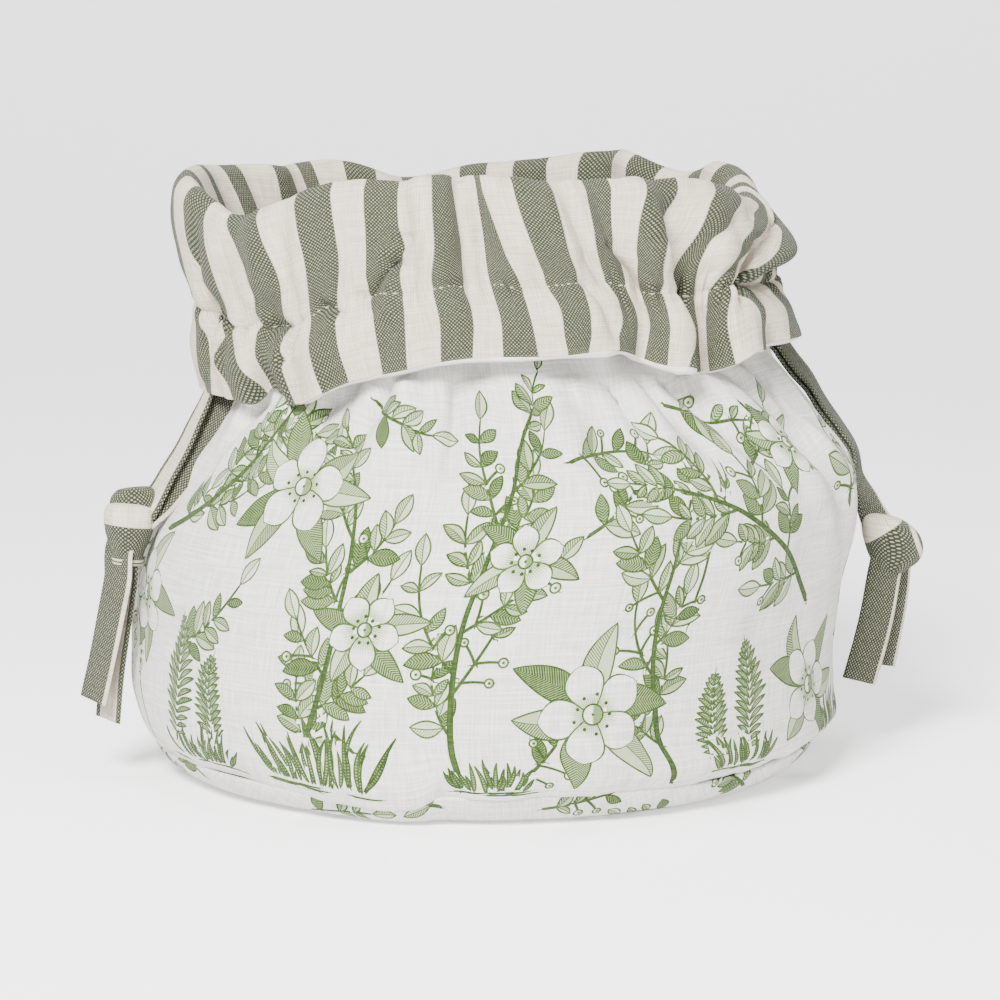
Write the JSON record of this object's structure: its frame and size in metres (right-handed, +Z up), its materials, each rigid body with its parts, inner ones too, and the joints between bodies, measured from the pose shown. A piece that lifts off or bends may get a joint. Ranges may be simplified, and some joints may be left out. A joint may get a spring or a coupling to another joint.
{
  "type": "linen bread bag",
  "caption": "Gathered drawstring cloth bag with a round base, a striped lining turned down as a deep cuff and a knotted tie at each side.",
  "frame": {"origin": "on the standing surface, under the middle of the bag's width and depth without its ties", "axes": "+Z up through the mouth, front of the bag towards -Y, ties at -X and +X"},
  "size_m": [0.3016, 0.2504, 0.2165],
  "materials": {
    "printed_linen": "matt white plain weave linen with a green ink botanical print",
    "striped_cloth": "matt basket weave, 12.5 mm stripes of sage green and ivory",
    "tie_cloth": "matt folded strips of the striped cloth, edge stitched"
  },
  "bodies": {
    "root": {"side_panel": "printed_linen", "base_panel": "printed_linen", "lining": "striped_cloth", "lining_base": "striped_cloth", "tie_left": "tie_cloth", "tie_right": "tie_cloth"}
  },
  "joints": []
}
